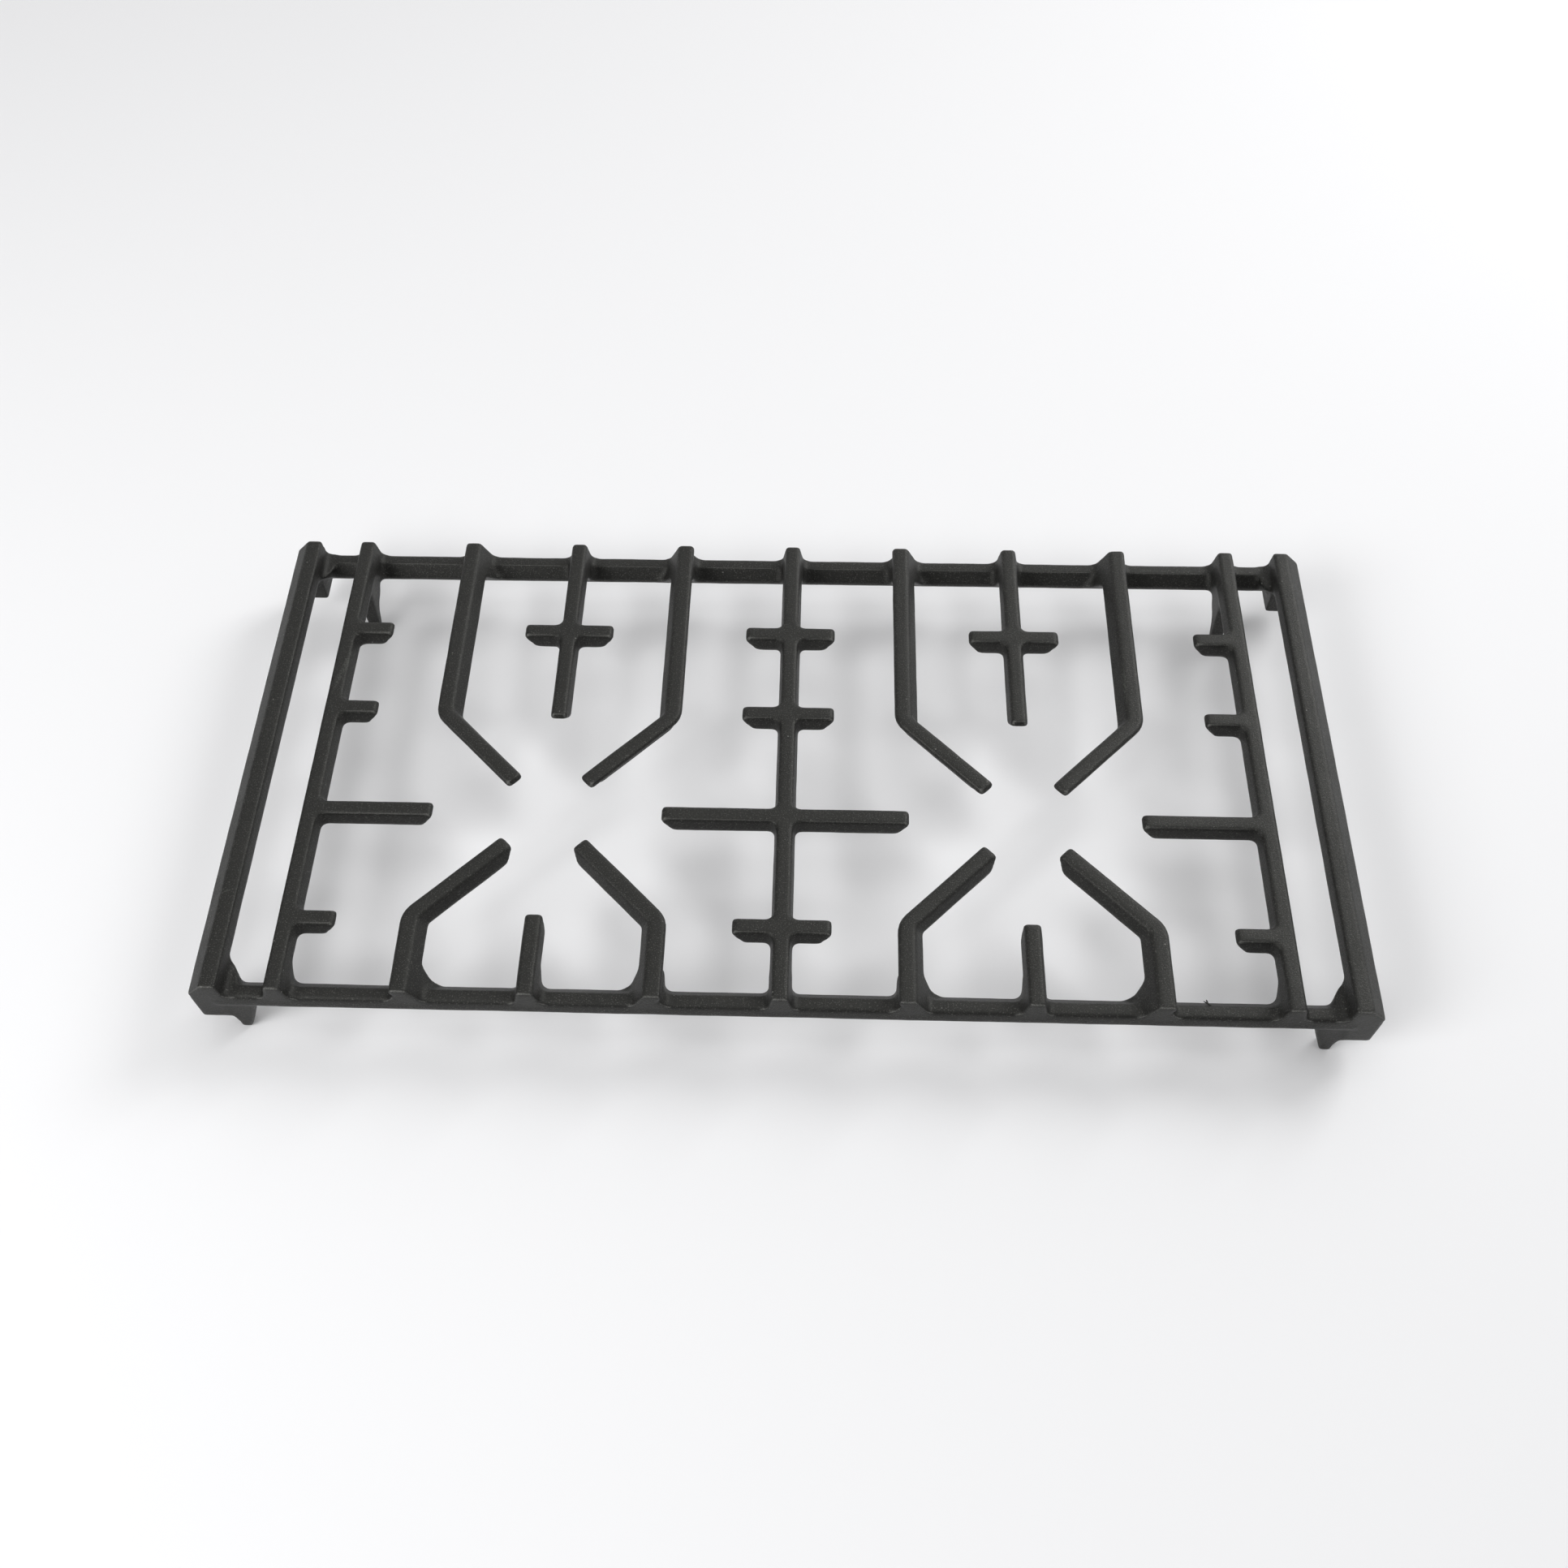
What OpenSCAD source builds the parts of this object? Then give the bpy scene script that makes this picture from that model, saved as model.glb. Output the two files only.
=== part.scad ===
// Stove grate: one iron casting that spans two burners.
// Narrow-crested bars run front to back and end on top of a front and a back rail.
// Slanted fingers and short ribs reach in towards the two burners.
// It stands on two pegs in front and two legs at the back.
// The origin is on the surface it stands on, under the middle of the grate.

/* [Plan] */
// Spacing of the bars along the length
bar_pitch = 56.25; // [54:0.25:62]
// From the outermost bar to the end rail, crest to crest
end_gap = 28.4; // [27:0.1:36]
// Depth over the ends of the crests, front to back
depth = 260; // [256:1:280]
// How far the burner centres lie in front of the middle
burner_shift = 35; // [32:0.5:38]
// From a burner centre to the crests of the straight fingers
straight_reach = 55; // [50:0.5:60]
// From a burner centre to the crests of the slanted fingers
slant_reach = 24.5; // [20:0.5:32]
// Length of a short rib, from the middle of its bar
rib_reach = 21.8; // [18:0.1:24]
// From the burner line to the ribs just in front of it and behind it
near_rib = 58.5; // [56:0.5:62]
// From the burner line to the row of ribs at the back
far_rib = 107.5; // [100:0.5:112]

/* [Heights] */
// Height of the crests above the surface
height = 43; // [40:0.5:50]
// Depth of the rail tops below the crests
rail_drop = 10.5; // [9:0.5:12]
// Clear height under the corner posts
post_lift = 12.5; // [8:0.5:16]

/* [Bar section] */
// Width of the flat crest
crest_w = 7.2; // [6:0.1:7.6]
// Width at the parting line, where the bar is widest
belly_w = 10.3; // [9.6:0.1:11.4]
// Width of the underside
keel_w = 4.4; // [4:0.1:6.5]
// Depth of the parting line below the crest
belly_drop = 7.5; // [6.5:0.1:8.5]
// Full depth of a bar
bar_h = 11.6; // [11:0.1:14]
// Bevel along every crest edge
crest_edge = 0.8; // [0.4:0.1:1]
// Radius of the corners where ribs and fingers leave a bar, seen from above
root_r = 2.2; // [1:0.1:3]

/* [Bent bars] */
// Half the width of a bent bar at its parting line, on the inner side of the arch
arch_belly = 7.7; // [6:0.1:9]
// The same half width on a slanted finger
slant_belly = 6; // [5:0.1:7]
// Half the width of both at the lip along their outer side
lip = 4.5; // [4:0.1:5]
// Radius of the outer side of a bend, at the lip
bend_r = 13; // [8:0.5:16]

/* [Finger ends] */
// How far the nose of a finger stands past its crest
nose_len = 1.2; // [0.6:0.1:2]
// Depth of the nose below the crest
nose_drop = 2.4; // [1.6:0.1:3]
// Length of the slope cut under a finger's end, down to the parting line
undercut = 5; // [4:0.5:8]
// Radius of the corners of a finger's end, seen from above
nose_r = 3; // [2:0.5:4.5]

/* [Rails] */
// Width of the flat top of the front and back rails
rail_flat = 6.4; // [5:0.1:8]
// Radius along the outer top edge of a rail
rail_round = 2.2; // [1:0.1:3]
// Outward swell of a rail at its parting line
rail_swell = 0.6; // [0.2:0.1:2]
// Run of the slope on the inner side of a rail
rail_slope = 4.9; // [3:0.1:6]
// Depth of a rail's parting line below its top
rail_belly = 6.5; // [5:0.5:7]
// Full depth of a rail
rail_h = 11; // [9:0.5:13]
// Run of the underside of a bar's end, down to the parting line of a rail
gusset_l = 6.5; // [5:0.5:9]
// Radius of the corners inside the arch of two bent bars, seen from above
web_r = 9.5; // [5:0.5:12]
// How far the same corners climb above the rail's parting line, along the rail
web_rise = 3; // [2:0.1:3.5]

/* [End rails] */
// Run of the sloped outer face of an end rail
end_slope = 7.2; // [6:0.1:11]
// Fall of that sloped face
end_fall = 7.5; // [6:0.1:10]
// Inward swell of an end rail at its parting line
end_swell = 0.4; // [0.2:0.1:2]
// Full depth of an end rail
end_h = 15; // [13:0.5:18]
// Width of a corner post
post_w = 13; // [11:0.1:15]
// Length of a corner post, front to back
post_l = 15; // [12:0.1:17]
// Length along the end rail of the web in its corner with a rail
end_web_l = 10; // [8:0.5:16]
// Width of the same web along the rail
end_web_w = 5; // [4:0.5:8]

/* [Feet] */
// From the outer end of the grate to the middle of a front peg
peg_inset = 16.9; // [16:0.1:22]
// Width of a front peg at its end
peg_w = 5.4; // [4.5:0.1:7]
// Widening of a front peg towards the middle of the grate
peg_flare = 7.8; // [5:0.1:10]
// Length of a front peg, front to back
peg_l = 7; // [5:0.5:9]
// From the back ends of the crests to the front face of a back leg
leg_inset = 29; // [26:0.5:32]
// Width of a back leg at its end
leg_w = 5.4; // [4:0.1:7]
// Length of a back leg at its end, front to back
leg_l = 4; // [3:0.1:6]

/* [Hidden] */
$fn = 48;
over = 2;
half_depth = depth / 2;
burner_x = 2 * bar_pitch;
burner_y = -burner_shift;
bend_y = bar_pitch;
end_x = 4 * bar_pitch + end_gap;
outer_x = end_x + crest_w / 2 + end_slope;
rail_top = height - rail_drop;
rail_line = rail_top - rail_belly;
rail_under = rail_top - rail_h;
rail_in = rail_flat + rail_slope;
bar_line = height - belly_drop;
bar_under = height - bar_h;
valley_r = rail_drop - belly_drop;
crest_draft = (belly_w - crest_w) / 2 / belly_drop;
arch_draft = (arch_belly - crest_w / 2) / belly_drop;
arch_lean = atan(arch_draft);
slope_angle = atan2(rail_belly, rail_slope);
inner_y = half_depth - rail_in;
bend_l = (bend_r - lip) * tan(22.5);
end_in = end_x - crest_w / 2 - end_swell;
peg_x = outer_x - peg_inset;
leg_x = 4 * bar_pitch;
leg_y = half_depth - leg_inset;

// Prism along the length, from a profile drawn in depth and height
module along_length(from, to) {
    translate([from, 0, 0]) rotate([90, 0, 90]) linear_extrude(to - from) children();
}

// Prism along the depth, from a profile drawn in length and height
module along_depth(from, to) {
    translate([0, to, 0]) rotate([90, 0, 0]) linear_extrude(to - from) children();
}

// A shape and its mirror image, left and right
module left_and_right() {
    children();
    mirror([1, 0, 0]) children();
}

// A shape and its mirror image, back and front
module back_and_front() {
    children();
    mirror([0, 1, 0]) children();
}

// Section of a bar: narrow crest, widest at the parting line, narrow keel
module bar_section() {
    polygon([
        [-crest_w / 2 + crest_edge, height],
        [crest_w / 2 - crest_edge, height],
        [crest_w / 2 + crest_draft * crest_edge, height - crest_edge],
        [belly_w / 2, bar_line],
        [keel_w / 2, bar_under],
        [-keel_w / 2, bar_under],
        [-belly_w / 2, bar_line],
        [-crest_w / 2 - crest_draft * crest_edge, height - crest_edge]
    ]);
}

// Section of a bent bar: the side towards the inside of the arch spreads wider
module bent_section() {
    polygon([
        [-crest_w / 2 + crest_edge, height],
        [crest_w / 2 - crest_edge, height],
        [crest_w / 2 + arch_draft * crest_edge, height - crest_edge],
        [arch_belly, bar_line],
        [keel_w / 2 + 1.5, bar_under],
        [-keel_w / 2 + 2, bar_under],
        [-lip + 3, bar_line],
        [-lip, height - nose_drop],
        [-crest_w / 2, height - crest_edge / 2]
    ]);
}

// Section of a slanted finger: cut away under a lip along its outer side
module slant_section() {
    polygon([
        [-crest_w / 2 + crest_edge, height],
        [crest_w / 2 - crest_edge, height],
        [crest_w / 2 + crest_draft * crest_edge, height - crest_edge],
        [slant_belly, bar_line],
        [keel_w / 2 + 1.5, bar_under],
        [-keel_w / 2 + 2, bar_under],
        [-lip + 4.2, bar_line],
        [-lip, height - nose_drop],
        [-crest_w / 2, height - crest_edge / 2]
    ]);
}

// Side view of a finger: bevelled crest, nose, and the slope cut under it
module finger_side(reach) {
    nose = reach + nose_len;
    polygon([
        [0, height + over],
        [reach - crest_edge - over, height + over],
        [reach - crest_edge / 2, height - crest_edge / 3],
        [nose, height - nose_drop],
        [nose - undercut, bar_line],
        [nose - undercut - bar_h, bar_line - bar_h],
        [0, bar_line - bar_h]
    ]);
}

// Top view of a finger, with round corners at its end
module finger_plan(tip) {
    translate([0, -belly_w]) square([tip - nose_r, 2 * belly_w]);
    translate([0, nose_r - crest_w / 2 - 1]) square([tip, crest_w + 2 - 2 * nose_r]);
    for (side = [-1, 1])
        translate([tip - nose_r, side * (crest_w / 2 + 1 - nose_r)]) circle(nose_r);
}

// One finger along +X, from the middle of the bar that carries it
module finger(reach) {
    shaped_finger(0, reach) bar_section();
}

// A finger with any section, from where it starts to its end, which is shaped as on all
module shaped_finger(from, reach) {
    intersection() {
        along_length(from, reach + nose_len + over) children();
        along_depth(-2 * belly_w, 2 * belly_w) finger_side(reach);
        linear_extrude(height + 2 * over) finger_plan(reach + nose_len);
    }
}

// Round inner corners where a finger along +X leaves its bar: the section goes round them
module root_corners() {
    middle = belly_w / 2 + root_r;
    for (side = [-1, 1])
        intersection() {
            translate([0, side > 0 ? 0 : -middle, bar_under]) cube([middle, middle, bar_h]);
            translate([middle, side * middle, 0])
                rotate_extrude() translate([middle, 0]) bar_section();
        }
}

// A finger or rib with the round corners at its root
module rooted_finger(reach) {
    finger(reach);
    root_corners();
}

// Part of a straight bar along the depth
module bar(from, to) {
    along_depth(from, to) bar_section();
}

// Outer half of a bent bar's section, facing +X
module outer_half() {
    intersection() {
        mirror([1, 0]) slant_section();
        square([belly_w, height + over]);
    }
}

// Round envelope of a bend: the section goes round the centre of the bend's outer side
module bend_envelope() {
    translate([bend_r - lip, bend_l, 0])
        rotate_extrude() {
            square([bend_r - lip, height]);
            translate([bend_r - lip, 0]) outer_half();
        }
}

// Bend between a bent bar and its slanted finger: sharp inside, round outside
module bend() {
    intersection() {
        union() {
            along_depth(0, bend_l) bent_section();
            rotate([0, 0, -45]) along_length(0, bend_l) slant_section();
            rotate_extrude() outer_half();
        }
        bend_envelope();
    }
}

// Bent bar on the left of a burner: it leaves a rail and points at the burner centre.
// It is drawn for the back rail; the front one mirrors it about the burner line.
module bent_bar(to_rail) {
    translate([-bar_pitch, bend_y, 0]) {
        along_depth(bend_l, to_rail - bend_y) bent_section();
        bend();
        rotate([0, 0, -45])
            shaped_finger(bend_l, bar_pitch * sqrt(2) - slant_reach) slant_section();
    }
}

// Bar that leaves a rail and stops short of the burner
module stopped_bar(to_rail) {
    translate([0, to_rail, 0]) rotate([0, 0, -90]) finger(to_rail - straight_reach);
}

// The bars around one burner, on one side of the burner line
module burner_bars(to_rail) {
    left_and_right() bent_bar(to_rail);
    stopped_bar(to_rail);
}

// Ribs and the long straight finger on one side of a bar that runs the whole depth
module bar_ribs() {
    for (y = [far_rib, near_rib, -near_rib])
        translate([0, burner_y + y, 0]) rooted_finger(rib_reach);
    translate([0, burner_y, 0]) rooted_finger(burner_x - straight_reach);
}

// Everything that carries pots over the right-hand burner
module right_half_bars() {
    translate([burner_x, burner_y, 0]) {
        burner_bars(half_depth + burner_shift);
        mirror([0, 1, 0]) burner_bars(half_depth - burner_shift);
        translate([0, far_rib, 0]) left_and_right() rooted_finger(rib_reach);
    }
    bar_ribs();
    translate([leg_x, 0, 0]) {
        bar(-half_depth, half_depth);
        mirror([1, 0, 0]) bar_ribs();
    }
}

// Section of the back rail: round outer edge, swollen parting line, sloped inner side
module rail_section() {
    edge = half_depth - rail_round;
    polygon([
        [half_depth - rail_flat, rail_top],
        [edge, rail_top],
        [edge, rail_top - rail_round],
        [half_depth, rail_top - rail_round],
        [half_depth + rail_swell, rail_line],
        [half_depth - 2, rail_under],
        [inner_y + 3, rail_under],
        [inner_y, rail_line]
    ]);
    translate([edge, rail_top - rail_round]) circle(rail_round);
}

// Front view of the foot of a bar on a surface at height 0, with the hollow beside it.
// The half width is that of the bar at its parting line, where its side may lean.
module foot_view(half_w, lean) {
    middle = half_w + valley_r / cos(lean);
    translate([0, -rail_h]) square([half_w, 2 * rail_h]);
    difference() {
        translate([0, -rail_h]) square([middle, rail_h + valley_r * (1 - sin(lean))]);
        translate([middle, valley_r]) circle(valley_r);
    }
}

// Side view of a bar's end: its underside falls from its own parting line to the rail's
module bar_end_side(top) {
    polygon([
        [half_depth, top],
        [inner_y - gusset_l, top],
        [inner_y - gusset_l, bar_line],
        [inner_y, rail_line],
        [half_depth, rail_line]
    ]);
}

// Half of a bar's foot on the back rail. Its hollow follows the rail's top and its slope.
module foot(half_w, lean) {
    intersection() {
        translate([0, 0, rail_top])
            along_depth(inner_y - gusset_l, half_depth) foot_view(half_w, lean);
        translate([0, half_depth - rail_flat, rail_top])
            rotate([slope_angle, 0, 0])
                along_depth(-2 * rail_in, 2 * rail_in) foot_view(half_w, lean);
        along_length(0, half_w + 2 * valley_r) bar_end_side(bar_line);
    }
}

// Wide inner side of a bent bar, carried down to the back rail with a round corner
module arch_side() {
    intersection() {
        along_depth(0, half_depth)
            polygon([
                [0, height - crest_edge],
                [crest_w / 2 + arch_draft * crest_edge, height - crest_edge],
                [crest_w / 2 + arch_draft * (rail_drop + rail_belly - web_rise), rail_line + web_rise],
                [arch_belly + web_r, rail_line],
                [0, rail_line]
            ]);
        along_length(0, arch_belly + web_r) bar_end_side(height);
        linear_extrude(height)
            difference() {
                translate([0, inner_y - web_r]) square([arch_belly + web_r, web_r + rail_in]);
                translate([arch_belly + web_r, inner_y - web_r]) circle(web_r);
            }
    }
}

// Where a straight bar meets the back rail
module bar_end() {
    left_and_right() foot(belly_w / 2, 0);
}

// Where the bent bar on the left of a burner meets the back rail
module bent_bar_end() {
    mirror([1, 0, 0]) foot(lip, 0);
    foot(arch_belly, arch_lean);
    arch_side();
}

// Back rail with the feet of all the crests that stand on it
module rail() {
    along_length(-end_x, end_x) rail_section();
    for (k = [-4, -2, 0, 2, 4])
        translate([k * bar_pitch, 0, 0]) bar_end();
    left_and_right()
        translate([burner_x, 0, 0]) left_and_right()
            translate([-bar_pitch, 0, 0]) bent_bar_end();
}

// Section of the right-hand end rail, with its wide sloped outer face
module end_section() {
    polygon([
        [end_x - crest_w / 2 + crest_edge, height],
        [end_x + crest_w / 2, height],
        [outer_x, height - end_fall],
        [outer_x, height - end_fall - 1.5],
        [outer_x - 3, height - end_h],
        [end_in + 3, height - end_h],
        [end_in, bar_line],
        [end_x - crest_w / 2, height - crest_edge]
    ]);
}

// Post under a corner, where an end rail meets the back rail
module corner_post() {
    translate([outer_x - post_w, half_depth - post_l, post_lift])
        cube([post_w, post_l, rail_top - post_lift]);
}

// Web in the corner between an end rail and the back rail, with its hollow top
module corner_web() {
    intersection() {
        along_length(end_in - end_web_w, end_x)
            polygon([
                [half_depth, bar_line],
                [inner_y - end_web_l, bar_line],
                [inner_y, rail_line],
                [half_depth, rail_line]
            ]);
        linear_extrude(height)
            polygon([
                [end_x, half_depth],
                [end_in - end_web_w, half_depth],
                [end_in - end_web_w, inner_y],
                [end_in, inner_y - end_web_l],
                [end_x, inner_y - end_web_l]
            ]);
        translate([end_in, 0, rail_top])
            along_depth(0, half_depth)
                difference() {
                    translate([-end_web_w, -rail_belly]) square([end_web_w + crest_w, rail_drop]);
                    translate([-valley_r, valley_r]) circle(valley_r);
                    translate([-end_web_w - over, 0])
                        square([end_web_w + over - valley_r, rail_drop]);
                }
    }
}

// End rail on the right, with its posts and corner webs
module end_rail() {
    along_depth(-half_depth, half_depth) end_section();
    back_and_front() {
        corner_post();
        corner_web();
    }
}

// Front view of the right-hand front peg: straight outside, flared inside
module peg_view() {
    half = peg_w / 2;
    top = rail_line;
    polygon([
        [half, 0.8],
        [half + 0.2, 6],
        [half + 1.2, post_lift - 2],
        [half + 3.2, post_lift],
        [half + 5, post_lift + 1],
        [half + 5, top],
        [-half - peg_flare, top],
        [-half - 0.6 * peg_flare, 14],
        [-half, 1.4],
        [-half + 0.8, 0],
        [half - 0.8, 0]
    ]);
}

// Front peg on the right
module peg() {
    translate([peg_x, 0, 0])
        along_depth(0.7 - half_depth, 0.7 - half_depth + peg_l) peg_view();
}

// Side view of a back leg: upright front face, back edge curving up to the rail
module leg_side() {
    polygon([
        [leg_y, 0.6],
        [leg_y, bar_line],
        [half_depth - rail_flat, bar_line],
        [half_depth - rail_flat, rail_line],
        [leg_y + 17, rail_under + 1],
        [leg_y + 13, rail_under - 3],
        [leg_y + 9, 17],
        [leg_y + 6.5, 13],
        [leg_y + leg_l + 0.6, 5],
        [leg_y + leg_l, 0.6],
        [leg_y + leg_l - 0.6, 0],
        [leg_y + 0.6, 0]
    ]);
}

// Front view of a back leg, tapering to its end
module leg_view() {
    half = leg_w / 2;
    polygon([
        [-belly_w / 2 + 0.6, bar_line],
        [-half, 0],
        [half, 0],
        [belly_w / 2 - 0.6, bar_line]
    ]);
}

// Back leg on the right
module leg() {
    translate([leg_x, 0, 0])
        intersection() {
            along_length(-belly_w, belly_w) leg_side();
            along_depth(0, half_depth) leg_view();
        }
}

// The whole casting
module grate() {
    color([0.06, 0.06, 0.06])
    union() {
        left_and_right() right_half_bars();
        bar(-half_depth, half_depth);
        back_and_front() rail();
        left_and_right() {
            end_rail();
            peg();
            leg();
        }
    }
}

grate();
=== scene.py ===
# %% [markdown]
# # A cast iron stove grate
# The grate is one iron casting under a thin coat of matt black enamel. Sand moulds leave
# it with soft edges, round inner corners and a fine grain, and the enamel follows them.
# The solid model gives its true sizes with crisp edges. This lesson turns a copy of that
# solid into the casting, finishes it, and lights it as in a small product studio.

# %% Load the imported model
import math

import bpy
import numpy as np
from mathutils import Matrix, Vector


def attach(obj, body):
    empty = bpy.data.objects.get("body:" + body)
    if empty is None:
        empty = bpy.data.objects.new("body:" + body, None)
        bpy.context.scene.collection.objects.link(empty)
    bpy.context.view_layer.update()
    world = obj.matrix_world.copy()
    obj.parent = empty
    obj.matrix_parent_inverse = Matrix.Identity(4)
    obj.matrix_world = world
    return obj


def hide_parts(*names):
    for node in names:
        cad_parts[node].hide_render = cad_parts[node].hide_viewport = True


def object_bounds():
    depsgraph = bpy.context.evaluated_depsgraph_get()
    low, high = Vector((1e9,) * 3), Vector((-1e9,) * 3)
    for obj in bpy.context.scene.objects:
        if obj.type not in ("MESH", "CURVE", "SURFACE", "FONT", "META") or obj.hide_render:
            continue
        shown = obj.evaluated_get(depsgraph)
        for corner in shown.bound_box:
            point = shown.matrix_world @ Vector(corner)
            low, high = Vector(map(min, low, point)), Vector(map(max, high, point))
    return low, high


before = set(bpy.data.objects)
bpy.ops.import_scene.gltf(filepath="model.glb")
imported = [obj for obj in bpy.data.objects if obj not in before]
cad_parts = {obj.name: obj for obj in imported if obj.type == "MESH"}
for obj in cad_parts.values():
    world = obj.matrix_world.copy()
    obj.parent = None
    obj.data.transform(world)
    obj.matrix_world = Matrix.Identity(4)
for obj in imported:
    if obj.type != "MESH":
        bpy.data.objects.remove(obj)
cad_low, cad_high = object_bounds()
MM = 0.001
print("solid model, mm:", [round(v / MM, 1) for v in cad_high - cad_low])

# %% [markdown]
# ## The camera
# The photograph looks down on the grate from in front. The place and the turn of the
# camera were worked out from the ends of the bars, whose spacing is known. A camera has
# three axes: right, up, and back towards the viewer. Writing them down as the columns of
# a matrix is clearer than three turning angles, and nothing has to be guessed by eye.

# %% Camera
CAMERA_PLACE = Vector((14.7, -416.9, 670.3)) * MM
RIGHT = Vector((0.99939, 0.03103, -0.01614))
DOWN = Vector((0.01752, -0.84358, -0.53672))
FORWARD = Vector((-0.03027, 0.53611, -0.84361))
SENSOR_WIDTH = 36.0
FOCAL_LENGTH = 35.96
SHIFT_TO_THE_LEFT = 0.00924

camera_data = bpy.data.cameras.new("camera")
camera_data.sensor_width = SENSOR_WIDTH
camera_data.lens = FOCAL_LENGTH
camera_data.shift_x = SHIFT_TO_THE_LEFT
camera_data.clip_start = 0.02
camera_data.clip_end = 50.0
camera = bpy.data.objects.new("camera", camera_data)
bpy.context.scene.collection.objects.link(camera)
turn = Matrix((RIGHT, -DOWN, -FORWARD)).transposed()
camera.matrix_world = Matrix.Translation(CAMERA_PLACE) @ turn.to_4x4()
bpy.context.scene.camera = camera
print("camera looks down at", round(math.degrees(math.asin(-FORWARD.z))), "degrees")

# %% [markdown]
# ## The casting
# Three ways come to mind for soft edges: a Bevel modifier, a subdivision surface, or a
# new skin made of voxels. Bevel fails where many faces meet at one corner, and a
# subdivision surface would pull the slim bars thin. So a copy of the solid is wrapped in
# a voxel skin, which is a fine and even mesh that doesn't mind how the faces met before.
# A moulder rounds the inner corners more than the outer ones, because sand crumbles and
# iron cracks at a sharp inner corner. To do the same, the skin is first pushed out, then
# wrapped again and pulled back: outer edges return, and inner corners stay filled.

# %% Helpers that read and write a whole mesh at once
def points_of(mesh):
    """All the points of a mesh, as rows of x, y and z."""
    flat = np.empty(len(mesh.vertices) * 3, np.float32)
    mesh.vertices.foreach_get("co", flat)
    return flat.reshape(-1, 3).astype(np.float64)


def normals_of(mesh):
    """The direction that the surface faces at each point, of length one."""
    flat = np.empty(len(mesh.vertices) * 3, np.float32)
    mesh.vertex_normals.foreach_get("vector", flat)
    return flat.reshape(-1, 3).astype(np.float64)


def move_points(mesh, points):
    """Put new places into the mesh."""
    mesh.vertices.foreach_set("co", points.astype(np.float32).ravel())
    mesh.update()


# %% Helpers that wrap and swell
def apply_modifiers(piece):
    """Make what the modifiers show the piece's own mesh."""
    depsgraph = bpy.context.evaluated_depsgraph_get()
    shown = bpy.data.meshes.new_from_object(piece.evaluated_get(depsgraph), depsgraph=depsgraph)
    old = piece.data
    piece.modifiers.clear()
    piece.data = shown
    bpy.data.meshes.remove(old)


def wrap(piece, voxel):
    """A new skin of small squares, each about one voxel wide."""
    skin = piece.modifiers.new("skin", "REMESH")
    skin.mode = "VOXEL"
    skin.voxel_size = voxel
    apply_modifiers(piece)


def swell(piece, distance):
    """Each point moves straight out of the surface by the same distance."""
    mesh = piece.data
    move_points(mesh, points_of(mesh) + distance * normals_of(mesh))


# %% Copy the solid and merge its loose triangles
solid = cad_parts["grate"]
casting = bpy.data.objects.new("grate_casting", solid.data.copy())
bpy.context.scene.collection.objects.link(casting)
weld = casting.modifiers.new("weld", "WELD")
weld.merge_threshold = 0.001 * MM
apply_modifiers(casting)
print("merged copy:", len(casting.data.vertices), "points")

# %% Wrap it, and fill the inner corners
VOXEL = 0.6 * MM
INNER_RADIUS = 2.0 * MM

wrap(casting, VOXEL)
swell(casting, INNER_RADIUS)
wrap(casting, VOXEL)
swell(casting, -INNER_RADIUS)
wrap(casting, VOXEL)
print("voxel skin:", len(casting.data.vertices), "points")

# %% [markdown]
# ## Soft outer edges
# The enamel runs away from an edge before it is fired, so every outer edge is soft. The
# skin is smoothed by moving each point towards the middle of its neighbours. On a flat
# face that moves nothing, and on an edge it cuts the corner, a little more each round.
# Where a round took much away there was an edge, so the distance that a point moved is
# kept as an attribute named edge, and the finish is smoother there. A grate is lifted out
# and put back from the front, so an edge that faces front and up is rubbed most of all, and
# the lamps' highlight falls on such edges too. A second attribute keeps that, and the colour
# it drives is partly wear and partly a painted highlight.

# %% Smooth the skin
SMOOTHING_ROUNDS = 6
STEP = 0.5


def soften(mesh, rounds, step):
    """New place = old place + step x (mean of the neighbours - old place), again and again."""
    ends = np.empty(len(mesh.edges) * 2, np.int64)
    mesh.edges.foreach_get("vertices", ends)
    first, second = ends.reshape(-1, 2).T
    points = points_of(mesh)
    count = np.bincount(ends, minlength=len(points))[:, None]
    for _ in range(rounds):
        total = np.empty_like(points)
        for axis in range(3):
            total[:, axis] = np.bincount(first, points[second, axis], len(points))
            total[:, axis] += np.bincount(second, points[first, axis], len(points))
        points += step * (total / count - points)
    return points


crisp = points_of(casting.data)
facing = normals_of(casting.data)
soft = soften(casting.data, SMOOTHING_ROUNDS, STEP)
cut_away = ((crisp - soft) * facing).sum(axis=1)
print("edges cut back by up to", round(cut_away.max() / MM, 2), "mm")

# %% [markdown]
# ## The unevenness of sand
# No cast face is quite flat. A few long waves across each other, at odd angles, lift and
# lower the skin by hundredths of a millimetre. That is too little to see as a shape, but
# it breaks the straight highlights, which is how the eye tells iron from plastic.

# %% Lift and lower the skin
WAVE_HEIGHT = 0.05 * MM
WAVES = 14
SHORTEST_WAVE = 7 * MM
LONGEST_WAVE = 45 * MM
EDGE_CUT = 0.14 * MM
OTHER_EDGES = 0.2


def sand_waves(points, seed):
    """The mean of sine waves that run in random directions with random lengths."""
    random = np.random.default_rng(seed)
    direction = random.normal(size=(WAVES, 3))
    direction /= np.linalg.norm(direction, axis=1)[:, None]
    length = random.uniform(SHORTEST_WAVE, LONGEST_WAVE, WAVES)
    phase = random.uniform(0, 2 * math.pi, WAVES)
    return np.sin(points @ (direction / length[:, None]).T * 2 * math.pi + phase).mean(axis=1)


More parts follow.
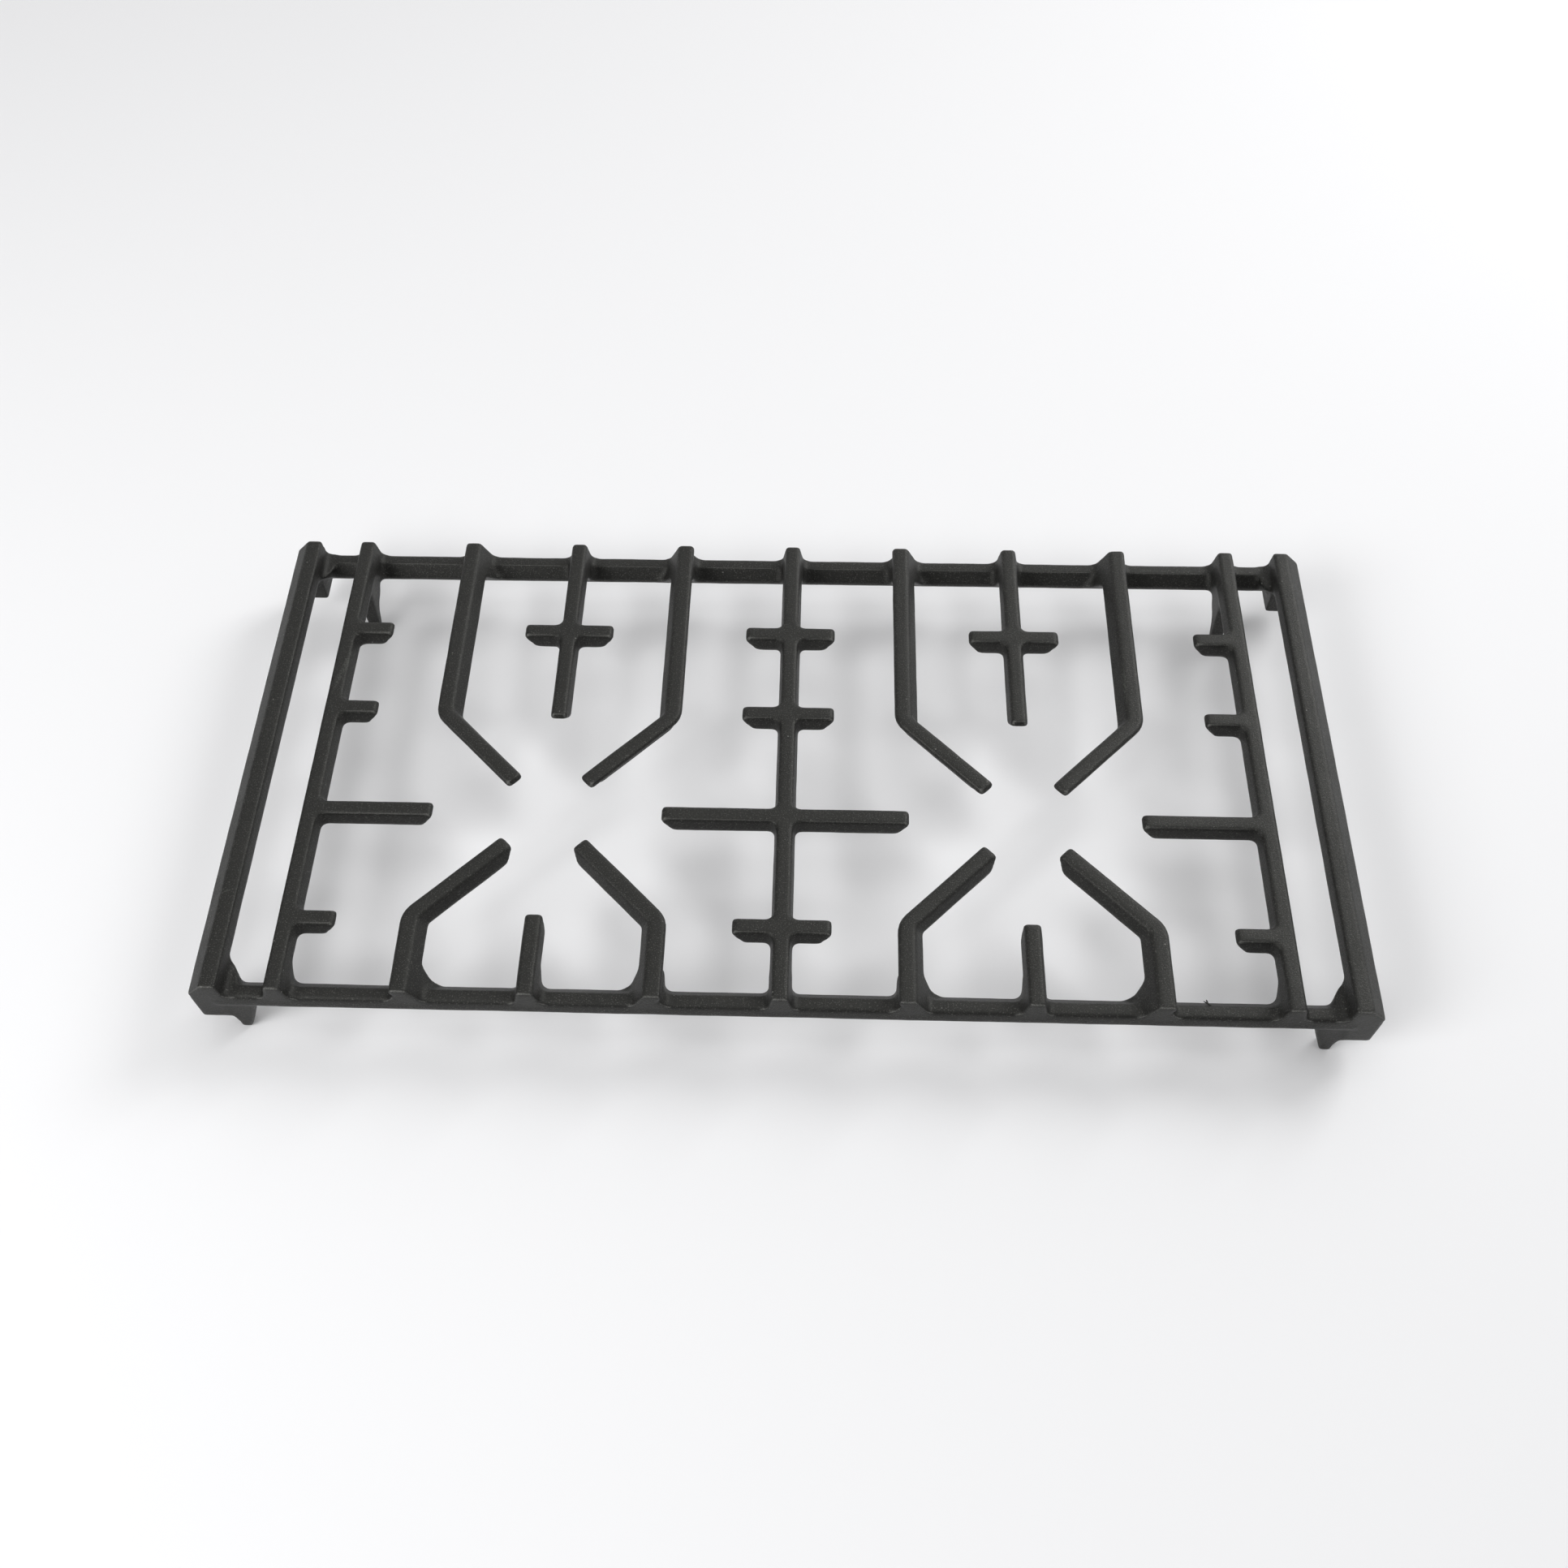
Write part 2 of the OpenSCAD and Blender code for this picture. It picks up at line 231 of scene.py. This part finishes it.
uneven = soft + facing * (WAVE_HEIGHT * WAVES**0.5 * sand_waves(soft, seed=4))[:, None]
move_points(casting.data, uneven)
edge = np.clip(cut_away / EDGE_CUT, 0, 1)
# Edges that face front and up get the most: wear, and a painted highlight where the lamps' highlight falls.
front_share = np.clip(-2 * facing[:, 1] * facing[:, 2], 0, 1)
front_wear_and_highlight = edge * (OTHER_EDGES + (1 - OTHER_EDGES) * front_share)
for name, values in (("edge", edge), ("front_wear_and_highlight", front_wear_and_highlight)):
    attribute = casting.data.attributes.new(name, "FLOAT", "POINT")
    attribute.data.foreach_set("value", values.astype(np.float32))
print("points on edges:", int((edge > 0.5).sum()), "of them rubbed:", int((front_wear_and_highlight > 0.5).sum()))

# %% [markdown]
# ## Fewer triangles
# Half a million even squares are more than flat faces need. Decimate in its collapse mode
# takes points away where the surface is flat and keeps them on the curves. Last, no point
# may stand outside the box of the solid, because that box is the true size of the grate.

# %% Thin the mesh
MOST_TRIANGLES = 190000
MARGIN = 0.002 * MM

triangles = sum(len(face.vertices) - 2 for face in casting.data.polygons)
thin = casting.modifiers.new("thin", "DECIMATE")
thin.ratio = MOST_TRIANGLES / triangles
apply_modifiers(casting)
inside = np.clip(points_of(casting.data), np.array(cad_low) + MARGIN, np.array(cad_high) - MARGIN)
move_points(casting.data, inside)
casting.data.polygons.foreach_set("use_smooth", np.ones(len(casting.data.polygons), bool))
print(triangles, "triangles thinned to", len(casting.data.polygons))

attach(casting, "root")
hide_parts("grate")

# %% [markdown]
# ## A burr
# A little iron ran into a gap of the mould and was never ground off. It is a forked sliver
# three millimetres long on the inner edge of the front rail. Each prong is a row of rings
# round a path, and the rings shrink towards its tip.

# %% The burr
BURR_PRONGS = (
    [(190.6, -123.0, 31.2), (189.4, -122.2, 31.4), (188.2, -121.3, 31.4), (187.1, -120.5, 31.1)],
    [(189.2, -122.1, 31.0), (188.9, -121.2, 31.3), (188.6, -120.3, 31.4), (188.5, -119.8, 31.2)],
)
BURR_RADII = np.array([0.45, 0.40, 0.34, 0.15]) * MM
RING_SIDES = 8


def prong(path, radii):
    """Point = path point + radius x (cosine of the angle x one side + sine x the other side)."""
    path = np.array(path) * MM
    along = np.gradient(path, axis=0)
    along /= np.linalg.norm(along, axis=1)[:, None]
    side = np.cross(along, (0.0, 0.0, 1.0))
    side /= np.linalg.norm(side, axis=1)[:, None]
    upright = np.cross(side, along)
    angle = np.arange(RING_SIDES) * 2 * math.pi / RING_SIDES
    ring = np.cos(angle)[None, :, None] * side[:, None] + np.sin(angle)[None, :, None] * upright[:, None]
    points = (path[:, None] + radii[:, None, None] * ring).reshape(-1, 3)
    first = np.arange(RING_SIDES)
    second = (first + 1) % RING_SIDES
    rows = (np.arange(len(path) - 1) * RING_SIDES)[:, None]
    sides = np.stack([rows + first, rows + second, rows + second + RING_SIDES, rows + first + RING_SIDES], axis=2)
    faces = sides.reshape(-1, 4).tolist() + [first[::-1].tolist(), (first + len(points) - RING_SIDES).tolist()]
    return points, faces


def make_burr():
    """All prongs in one mesh."""
    points, faces = [], []
    for path in BURR_PRONGS:
        new_points, new_faces = prong(path, BURR_RADII)
        faces += [[index + len(points) for index in face] for face in new_faces]
        points += new_points.tolist()
    mesh = bpy.data.meshes.new("casting_burr")
    mesh.from_pydata(points, [], faces)
    piece = bpy.data.objects.new("casting_burr", mesh)
    bpy.context.scene.collection.objects.link(piece)
    rounded = piece.modifiers.new("rounded", "SUBSURF")
    rounded.levels = 1
    rounded.render_levels = 1
    mesh.polygons.foreach_set("use_smooth", np.ones(len(mesh.polygons), bool))
    return piece


burr = make_burr()
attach(burr, "root")
print("burr:", len(burr.data.polygons), "faces")

# %% [markdown]
# ## Effects for the finish
# Each effect is a node group with its own inputs, so it can be tried by itself and used
# again. All of them read Object coordinates, in metres, so the pattern sits on the iron
# and stays there from every side.

# %% A helper that starts a node group
def start_group(name, inputs, outputs):
    """An empty node group with number inputs and the outputs that are asked for."""
    group = bpy.data.node_groups.new(name, "ShaderNodeTree")
    for label, value in inputs.items():
        socket = group.interface.new_socket(label, in_out="INPUT", socket_type="NodeSocketFloat")
        socket.default_value = value
    for label, kind in outputs.items():
        group.interface.new_socket(label, in_out="OUTPUT", socket_type="NodeSocket" + kind)
    start = group.nodes.new("NodeGroupInput")
    end = group.nodes.new("NodeGroupOutput")
    return group, start, end


def math_node(tree, operation, first, second=None):
    """One sum, where each side is a number or the output of another node."""
    node = tree.nodes.new("ShaderNodeMath")
    node.operation = operation
    for socket, value in zip(node.inputs, (first, second)):
        if isinstance(value, (int, float)):
            socket.default_value = value
        elif value is not None:
            tree.links.new(value, socket)
    return node.outputs[0]


def noise_node(tree, place, scale, detail=2.0, roughness=0.5):
    """Soft random values between 0 and 1, with so many patches to the metre."""
    node = tree.nodes.new("ShaderNodeTexNoise")
    node.inputs["Detail"].default_value = detail
    node.inputs["Roughness"].default_value = roughness
    tree.links.new(place, node.inputs["Vector"])
    if isinstance(scale, (int, float)):
        node.inputs["Scale"].default_value = scale
    else:
        tree.links.new(scale, node.inputs["Scale"])
    return node.outputs["Fac"]


def spread_node(tree, value, low, high, to_low=0.0, to_high=1.0):
    """Stretch the values between low and high to a new range, and cut off the rest."""
    node = tree.nodes.new("ShaderNodeMapRange")
    tree.links.new(value, node.inputs["Value"])
    for label, number in (("From Min", low), ("From Max", high), ("To Min", to_low), ("To Max", to_high)):
        node.inputs[label].default_value = number
    return node.outputs["Result"]


def object_place(tree):
    """The place on the piece, in metres."""
    return tree.nodes.new("ShaderNodeTexCoord").outputs["Object"]


# %% Sand grain under the enamel
def make_grain():
    """Height = coarse pebbles + fine grit, each a noise of its own grain size."""
    inputs = {"Pebble mm": 0.8, "Grit mm": 0.4, "Grit share": 0.7}
    group, start, end = start_group("sand_grain", inputs, {"Height": "Float"})
    place = object_place(group)
    pebbles = noise_node(group, place, math_node(group, "DIVIDE", 1 / MM, start.outputs["Pebble mm"]))
    grit = noise_node(group, place, math_node(group, "DIVIDE", 1 / MM, start.outputs["Grit mm"]))
    height = math_node(group, "ADD", pebbles, math_node(group, "MULTIPLY", grit, start.outputs["Grit share"]))
    group.links.new(height, end.inputs["Height"])
    return group


grain = make_grain()
print("node group:", grain.name)

# %% Patches where the enamel came out a little greyer
def make_mottle():
    """Mask = wide clouds x fine clouds, stretched so that it runs from 0 to 1."""
    group, start, end = start_group("mottle", {"Cloud mm": 30.0, "Fleck mm": 2.0}, {"Mask": "Float"})
    place = object_place(group)
    clouds = noise_node(group, place, math_node(group, "DIVIDE", 1 / MM, start.outputs["Cloud mm"]))
    flecks = noise_node(group, place, math_node(group, "DIVIDE", 1 / MM, start.outputs["Fleck mm"]), 4.0)
    both = math_node(group, "MULTIPLY", clouds, flecks)
    group.links.new(spread_node(group, both, 0.12, 0.42), end.inputs["Mask"])
    return group


mottle = make_mottle()
print("node group:", mottle.name)

# %% Painted glints: pale dots
def make_painted_glint_specks():
    """Painted glints: mask = 1 inside a few of the cells of a Voronoi pattern, close to the cell's middle."""
    group, start, end = start_group("painted_glint_specks", {"Spacing mm": 3.4, "Share": 0.10}, {"Mask": "Float"})
    place = object_place(group)
    cells = group.nodes.new("ShaderNodeTexVoronoi")
    group.links.new(place, cells.inputs["Vector"])
    group.links.new(math_node(group, "DIVIDE", 1 / MM, start.outputs["Spacing mm"]), cells.inputs["Scale"])
    near = spread_node(group, cells.outputs["Distance"], 0.06, 0.13, 1.0, 0.0)
    split = group.nodes.new("ShaderNodeSeparateColor")
    group.links.new(cells.outputs["Color"], split.inputs["Color"])
    chosen = math_node(group, "LESS_THAN", split.outputs["Red"], start.outputs["Share"])
    size = math_node(group, "MULTIPLY", near, split.outputs["Green"])
    group.links.new(math_node(group, "MULTIPLY", size, chosen), end.inputs["Mask"])
    return group


painted_glint_specks = make_painted_glint_specks()
print("node group:", painted_glint_specks.name)

# %% A rub mark
def make_rub():
    """Mask = how near a point is to a place, in lengths of an ellipsoid, broken up by noise."""
    inputs = {"X mm": 0.0, "Y mm": 0.0, "Z mm": 43.0, "Half width mm": 2.0, "Half length mm": 15.0, "Turn": 0.0}
    group, start, end = start_group("rub_mark", inputs, {"Mask": "Float"})
    place = object_place(group)
    centre = group.nodes.new("ShaderNodeCombineXYZ")
    for axis in "XYZ":
        in_metres = math_node(group, "MULTIPLY", start.outputs[axis + " mm"], MM)
        group.links.new(in_metres, centre.inputs[axis])
    away = group.nodes.new("ShaderNodeVectorMath")
    away.operation = "SUBTRACT"
    group.links.new(place, away.inputs[0])
    group.links.new(centre.outputs[0], away.inputs[1])
    turned = group.nodes.new("ShaderNodeVectorRotate")
    turned.rotation_type = "Z_AXIS"
    group.links.new(away.outputs[0], turned.inputs["Vector"])
    group.links.new(start.outputs["Turn"], turned.inputs["Angle"])
    split = group.nodes.new("ShaderNodeSeparateXYZ")
    group.links.new(turned.outputs[0], split.inputs[0])
    across = math_node(group, "DIVIDE", split.outputs["X"], math_node(group, "MULTIPLY", start.outputs["Half width mm"], MM))
    along = math_node(group, "DIVIDE", split.outputs["Y"], math_node(group, "MULTIPLY", start.outputs["Half length mm"], MM))
    squares = math_node(group, "ADD", math_node(group, "MULTIPLY", across, across), math_node(group, "MULTIPLY", along, along))
    inside = spread_node(group, squares, 0.2, 1.0, 1.0, 0.0)
    broken = spread_node(group, noise_node(group, place, 1900.0, 3.0), 0.45, 0.65)
    group.links.new(math_node(group, "MULTIPLY", inside, broken), end.inputs["Mask"])
    return group


rub_mark = make_rub()
print("node group:", rub_mark.name)

# %% [markdown]
# ## The enamel
# The enamel is close to black, but never flat black. It is a touch warmer and greyer in
# patches, and it is worn a little smoother where pans slide over the crests. Its front edges
# are paler, partly from wear and partly as a painted highlight, and pale flecks and dots are
# painted glints. The grain goes into a Bump node, because it is finer than any mesh here.

# %% Enamel colours
ENAMEL = (0.0062, 0.0062, 0.0058, 1.0)
ENAMEL_GREY = (0.0105, 0.0105, 0.0097, 1.0)
# Paler front edges: partly wear, partly a painted highlight.
WORN_EDGE_AND_PAINTED_HIGHLIGHT = (0.130, 0.130, 0.123, 1.0)
# Painted glints: fine paler flecks stand in for light glinting off the grain.
PAINTED_GLINT_FLECK = (0.055, 0.055, 0.051, 1.0)
GLINT_FLECKS_PER_METRE = 1700.0
# Painted glints: pale dots in a few cells.
PAINTED_GLINT_SPECK = (0.16, 0.16, 0.15, 1.0)
RUBBED = (0.055, 0.058, 0.052, 1.0)
GRAIN_HEIGHT = 0.14 * MM
EDGE_POLISH = 0.12


def mix_colours(tree, amount, first, second):
    """First where the amount is 0, second where it is 1."""
    node = tree.nodes.new("ShaderNodeMix")
    node.data_type = "RGBA"
    tree.links.new(amount, node.inputs["Factor"])
    for socket, colour in ((node.inputs[6], first), (node.inputs[7], second)):
        if isinstance(colour, tuple):
            socket.default_value = colour
        else:
            tree.links.new(colour, socket)
    return node.outputs[2]


def use_group(tree, group, **values):
    """Place a node group, with its inputs written in words joined by underscores."""
    node = tree.nodes.new("ShaderNodeGroup")
    node.node_tree = group
    for words, value in values.items():
        node.inputs[words.replace("_", " ")].default_value = value
    return node.outputs[0]


def attribute_value(tree, name):
    """The value that the mesh keeps under this name."""
    node = tree.nodes.new("ShaderNodeAttribute")
    node.attribute_name = name
    return node.outputs["Fac"]


# %% The enamel material
RUB_MARKS = (
    dict(X_mm=-223.5, Y_mm=45.0, Half_width_mm=1.6, Half_length_mm=16.0, Turn=0.2),
    dict(X_mm=165.3, Y_mm=45.0, Half_width_mm=1.3, Half_length_mm=14.0, Turn=0.0),
    dict(X_mm=-256.5, Y_mm=-82.0, Half_width_mm=0.5, Half_length_mm=8.0, Turn=1.2),
)


def make_enamel():
    """Black enamel on a sand casting, with paler front edges (wear and a painted highlight), painted glints and a
    few rub marks.
    """
    material = bpy.data.materials.new("matt_enamel")
    material.use_nodes = True
    tree = material.node_tree
    shader = tree.nodes["Principled BSDF"]

    patchy = spread_node(tree, noise_node(tree, object_place(tree), 2200.0, 2.0), 0.25, 0.60)
    # Painted highlight and wear: the marked front edges are mixed towards the pale colour.
    wear_and_highlight_mask = math_node(tree, "MULTIPLY", spread_node(tree, attribute_value(tree, "front_wear_and_highlight"), 0.45, 0.9), patchy)
    polish = math_node(tree, "MULTIPLY", spread_node(tree, attribute_value(tree, "edge"), 0.15, 0.8), patchy)

    colour = mix_colours(tree, use_group(tree, mottle), ENAMEL, ENAMEL_GREY)
    # Painted glints: a fine noise lifts small flecks to a paler colour.
    painted_glint_flecks = spread_node(tree, noise_node(tree, object_place(tree), GLINT_FLECKS_PER_METRE, 1.0), 0.58, 0.72)
    colour = mix_colours(tree, painted_glint_flecks, colour, PAINTED_GLINT_FLECK)
    colour = mix_colours(tree, wear_and_highlight_mask, colour, WORN_EDGE_AND_PAINTED_HIGHLIGHT)
    for mark in RUB_MARKS:
        colour = mix_colours(tree, use_group(tree, rub_mark, **mark), colour, RUBBED)
    # Painted glints: pale dots from a few Voronoi cells.
    colour = mix_colours(tree, use_group(tree, painted_glint_specks), colour, PAINTED_GLINT_SPECK)
    tree.links.new(colour, shader.inputs["Base Color"])

    dull = spread_node(tree, use_group(tree, mottle, Cloud_mm=18.0, Fleck_mm=1.2), 0.0, 1.0, 0.47, 0.55)
    rough = math_node(tree, "SUBTRACT", dull, math_node(tree, "MULTIPLY", polish, EDGE_POLISH))
    tree.links.new(rough, shader.inputs["Roughness"])
    shader.inputs["Specular IOR Level"].default_value = 0.375
    shader.inputs["Specular Tint"].default_value = (1.0, 1.0, 0.95, 1.0)

    bump = tree.nodes.new("ShaderNodeBump")
    bump.inputs["Strength"].default_value = 1.0
    bump.inputs["Distance"].default_value = GRAIN_HEIGHT
    tree.links.new(use_group(tree, grain), bump.inputs["Height"])
    tree.links.new(bump.outputs["Normal"], shader.inputs["Normal"])
    return material


enamel = make_enamel()
casting.data.materials.clear()
casting.data.materials.append(enamel)
burr.data.materials.append(enamel)
print("material:", enamel.name, "with", len(enamel.node_tree.nodes), "nodes")

# %% [markdown]
# ## The studio
# The photograph shows a pale sweep of paper and very soft shadows on both sides of each
# bar. A large plane stands for the paper. Its edge is far outside the view.

# %% Floor
FLOOR_HALF = 4.0


def make_floor():
    """One square on the surface that the feet stand on."""
    mesh = bpy.data.meshes.new("floor")
    corners = np.array([(-1, -1, 0), (1, -1, 0), (1, 1, 0), (-1, 1, 0)]) * FLOOR_HALF
    mesh.from_pydata(corners.tolist(), [], [(0, 1, 2, 3)])
    floor = bpy.data.objects.new("floor", mesh)
    bpy.context.scene.collection.objects.link(floor)
    paper = bpy.data.materials.new("paper")
    paper.use_nodes = True
    shader = paper.node_tree.nodes["Principled BSDF"]
    shader.inputs["Base Color"].default_value = (0.86, 0.86, 0.87, 1.0)
    shader.inputs["Roughness"].default_value = 0.9
    mesh.materials.append(paper)
    return floor


floor = make_floor()

# %% [markdown]
# ## Lights
# Two softboxes stand left and right of the grate. The left one stands a little in front,
# so the front edges of the left half catch it, and the right one stands a little behind.
# A small one in front and a weak one overhead give the soft edges their thin highlights.
# The rest is the room, which the world gives: a white ceiling and a white wall behind. To
# the left and behind the camera the room is dark, so the front faces stay dark too. What
# the camera itself sees beyond the floor is plain pale paper, from every side.

# %% Lights and world
def add_softbox(name, place, target, width, height, power):
    """A rectangular light at a place, in metres, that faces the target."""
    data = bpy.data.lights.new(name, "AREA")
    data.shape = "RECTANGLE"
    data.size = width
    data.size_y = height
    data.energy = power
    light = bpy.data.objects.new(name, data)
    light.visible_camera = False
    light.location = place
    light.rotation_euler = (Vector(target) - Vector(place)).to_track_quat("-Z", "Y").to_euler()
    bpy.context.scene.collection.objects.link(light)
    return light


add_softbox("softbox_left", (-1.3, -0.8, 1.1), (0, 0, 0), 0.8, 0.8, 15)
add_softbox("softbox_front", (-1.0, -1.4, 1.2), (0, 0, 0), 0.5, 0.5, 4)
add_softbox("softbox_right", (1.2, 1.0, 1.2), (0, 0, 0), 0.8, 0.8, 15)
add_softbox("overhead", (0, 0.2, 1.9), (0, 0, 0), 1.0, 1.0, 3.5)

# %% The room
CEILING = 0.62
WALL_BEHIND = 1.15
WALL_RIGHT = 0.75
PALE_PAPER = 0.82


def make_room():
    """Light = ceiling where a direction points up, and below it each wall x its share squared."""
    world = bpy.data.worlds.new("studio")
    world.use_nodes = True
    tree = world.node_tree
    direction = tree.nodes.new("ShaderNodeSeparateXYZ")
    tree.links.new(tree.nodes.new("ShaderNodeTexCoord").outputs["Generated"], direction.inputs[0])
    up = spread_node(tree, direction.outputs["Z"], 0.55, 0.85)
    below = math_node(tree, "SUBTRACT", 1.0, up)
    light = math_node(tree, "MULTIPLY", up, CEILING)
    for axis, strength in (("Y", WALL_BEHIND), ("X", WALL_RIGHT)):
        share = math_node(tree, "MAXIMUM", direction.outputs[axis], 0.0)
        share = math_node(tree, "MULTIPLY", math_node(tree, "MULTIPLY", share, share), below)
        light = math_node(tree, "ADD", light, math_node(tree, "MULTIPLY", share, strength))
    seen = tree.nodes.new("ShaderNodeLightPath").outputs["Is Camera Ray"]
    unseen = math_node(tree, "MULTIPLY", light, math_node(tree, "SUBTRACT", 1.0, seen))
    shown = math_node(tree, "ADD", unseen, math_node(tree, "MULTIPLY", seen, PALE_PAPER))
    background = tree.nodes["Background"]
    background.inputs["Color"].default_value = (1.0, 1.0, 1.0, 1.0)
    tree.links.new(shown, background.inputs["Strength"])
    return world


bpy.context.scene.world = make_room()
bpy.context.scene.view_settings.view_transform = "Standard"
